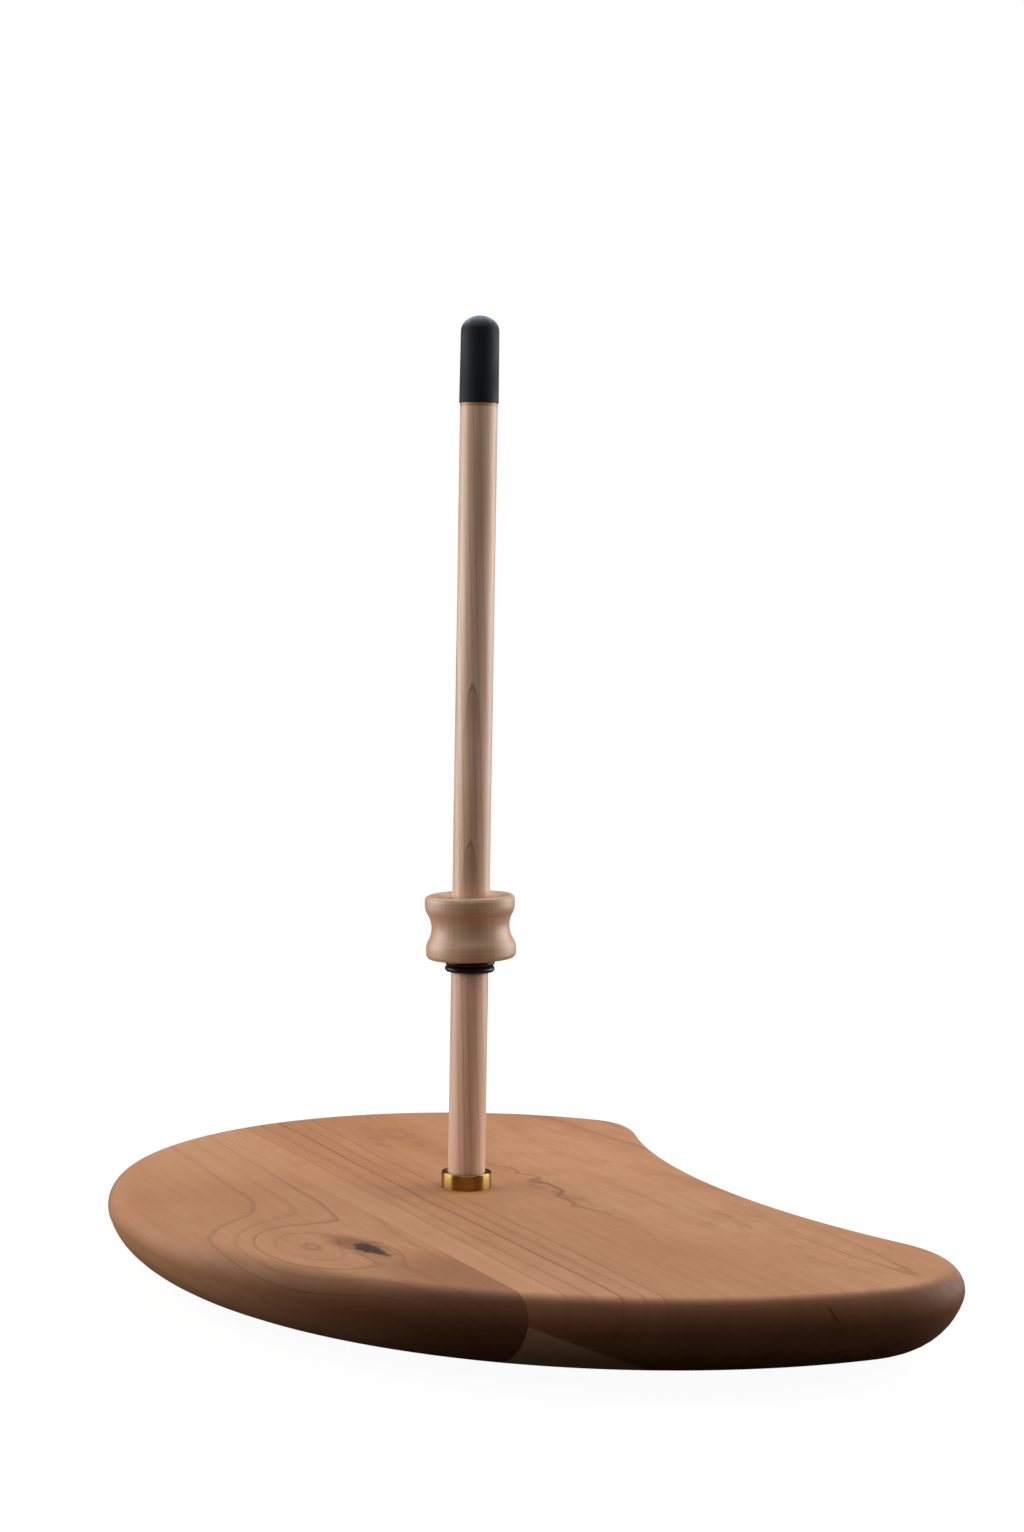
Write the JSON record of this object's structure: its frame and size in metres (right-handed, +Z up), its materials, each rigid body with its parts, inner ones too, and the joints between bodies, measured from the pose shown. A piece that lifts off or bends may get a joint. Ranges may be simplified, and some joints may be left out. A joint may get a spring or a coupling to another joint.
{
  "type": "paper towel holder",
  "caption": "Free-standing paper towel holder: comma-shaped cherry base, upright maple post with a soft cap, and a turned spool on rubber rings that centres the roll's core.",
  "frame": {"origin": "on the post's axis at the worktop that the feet stand on", "axes": "+Z up the post, +X to the side of the right tip and the hollow bite, +Y away from the long front edge"},
  "size_m": [0.3474, 0.3554, 0.4066],
  "materials": {
    "cherry": "oiled cherry, satin",
    "maple": "bare maple, sanded",
    "rubber": "matt black",
    "brass": "turned brass, bright",
    "steel": "zinc-plated steel"
  },
  "bodies": {
    "stand": {"base_board_left": "cherry", "base_board_right": "cherry", "post": "maple", "post_collar": "brass", "post_cap": "rubber", "post_screw": "steel", "post_washer": "steel", "foot_left": "rubber", "foot_far": "rubber", "foot_front": "rubber", "foot_right": "rubber", "foot_washer_left": "steel", "foot_washer_far": "steel", "foot_washer_front": "steel", "foot_washer_right": "steel", "foot_screw_left": "steel", "foot_screw_far": "steel", "foot_screw_front": "steel", "foot_screw_right": "steel"},
    "lower_ring": {"stop_ring_lower": "rubber"},
    "upper_ring": {"stop_ring_upper": "rubber"},
    "roll_spool": {"spool": "maple"}
  },
  "joints": [
    {"name": "lower_ring_slide", "type": "slide", "parent": "stand", "child": "lower_ring", "axis": [0, 0, 1], "range_m": [-0.086, 0.167]},
    {"name": "upper_ring_slide", "type": "slide", "parent": "lower_ring", "child": "upper_ring", "axis": [0, 0, 1], "range_m": [0, 0.04]},
    {"name": "spool_spin", "type": "hinge", "parent": "upper_ring", "child": "roll_spool", "pos_m": [0, 0, 0.14853], "axis": [0, 0, 1], "continuous": true}
  ]
}
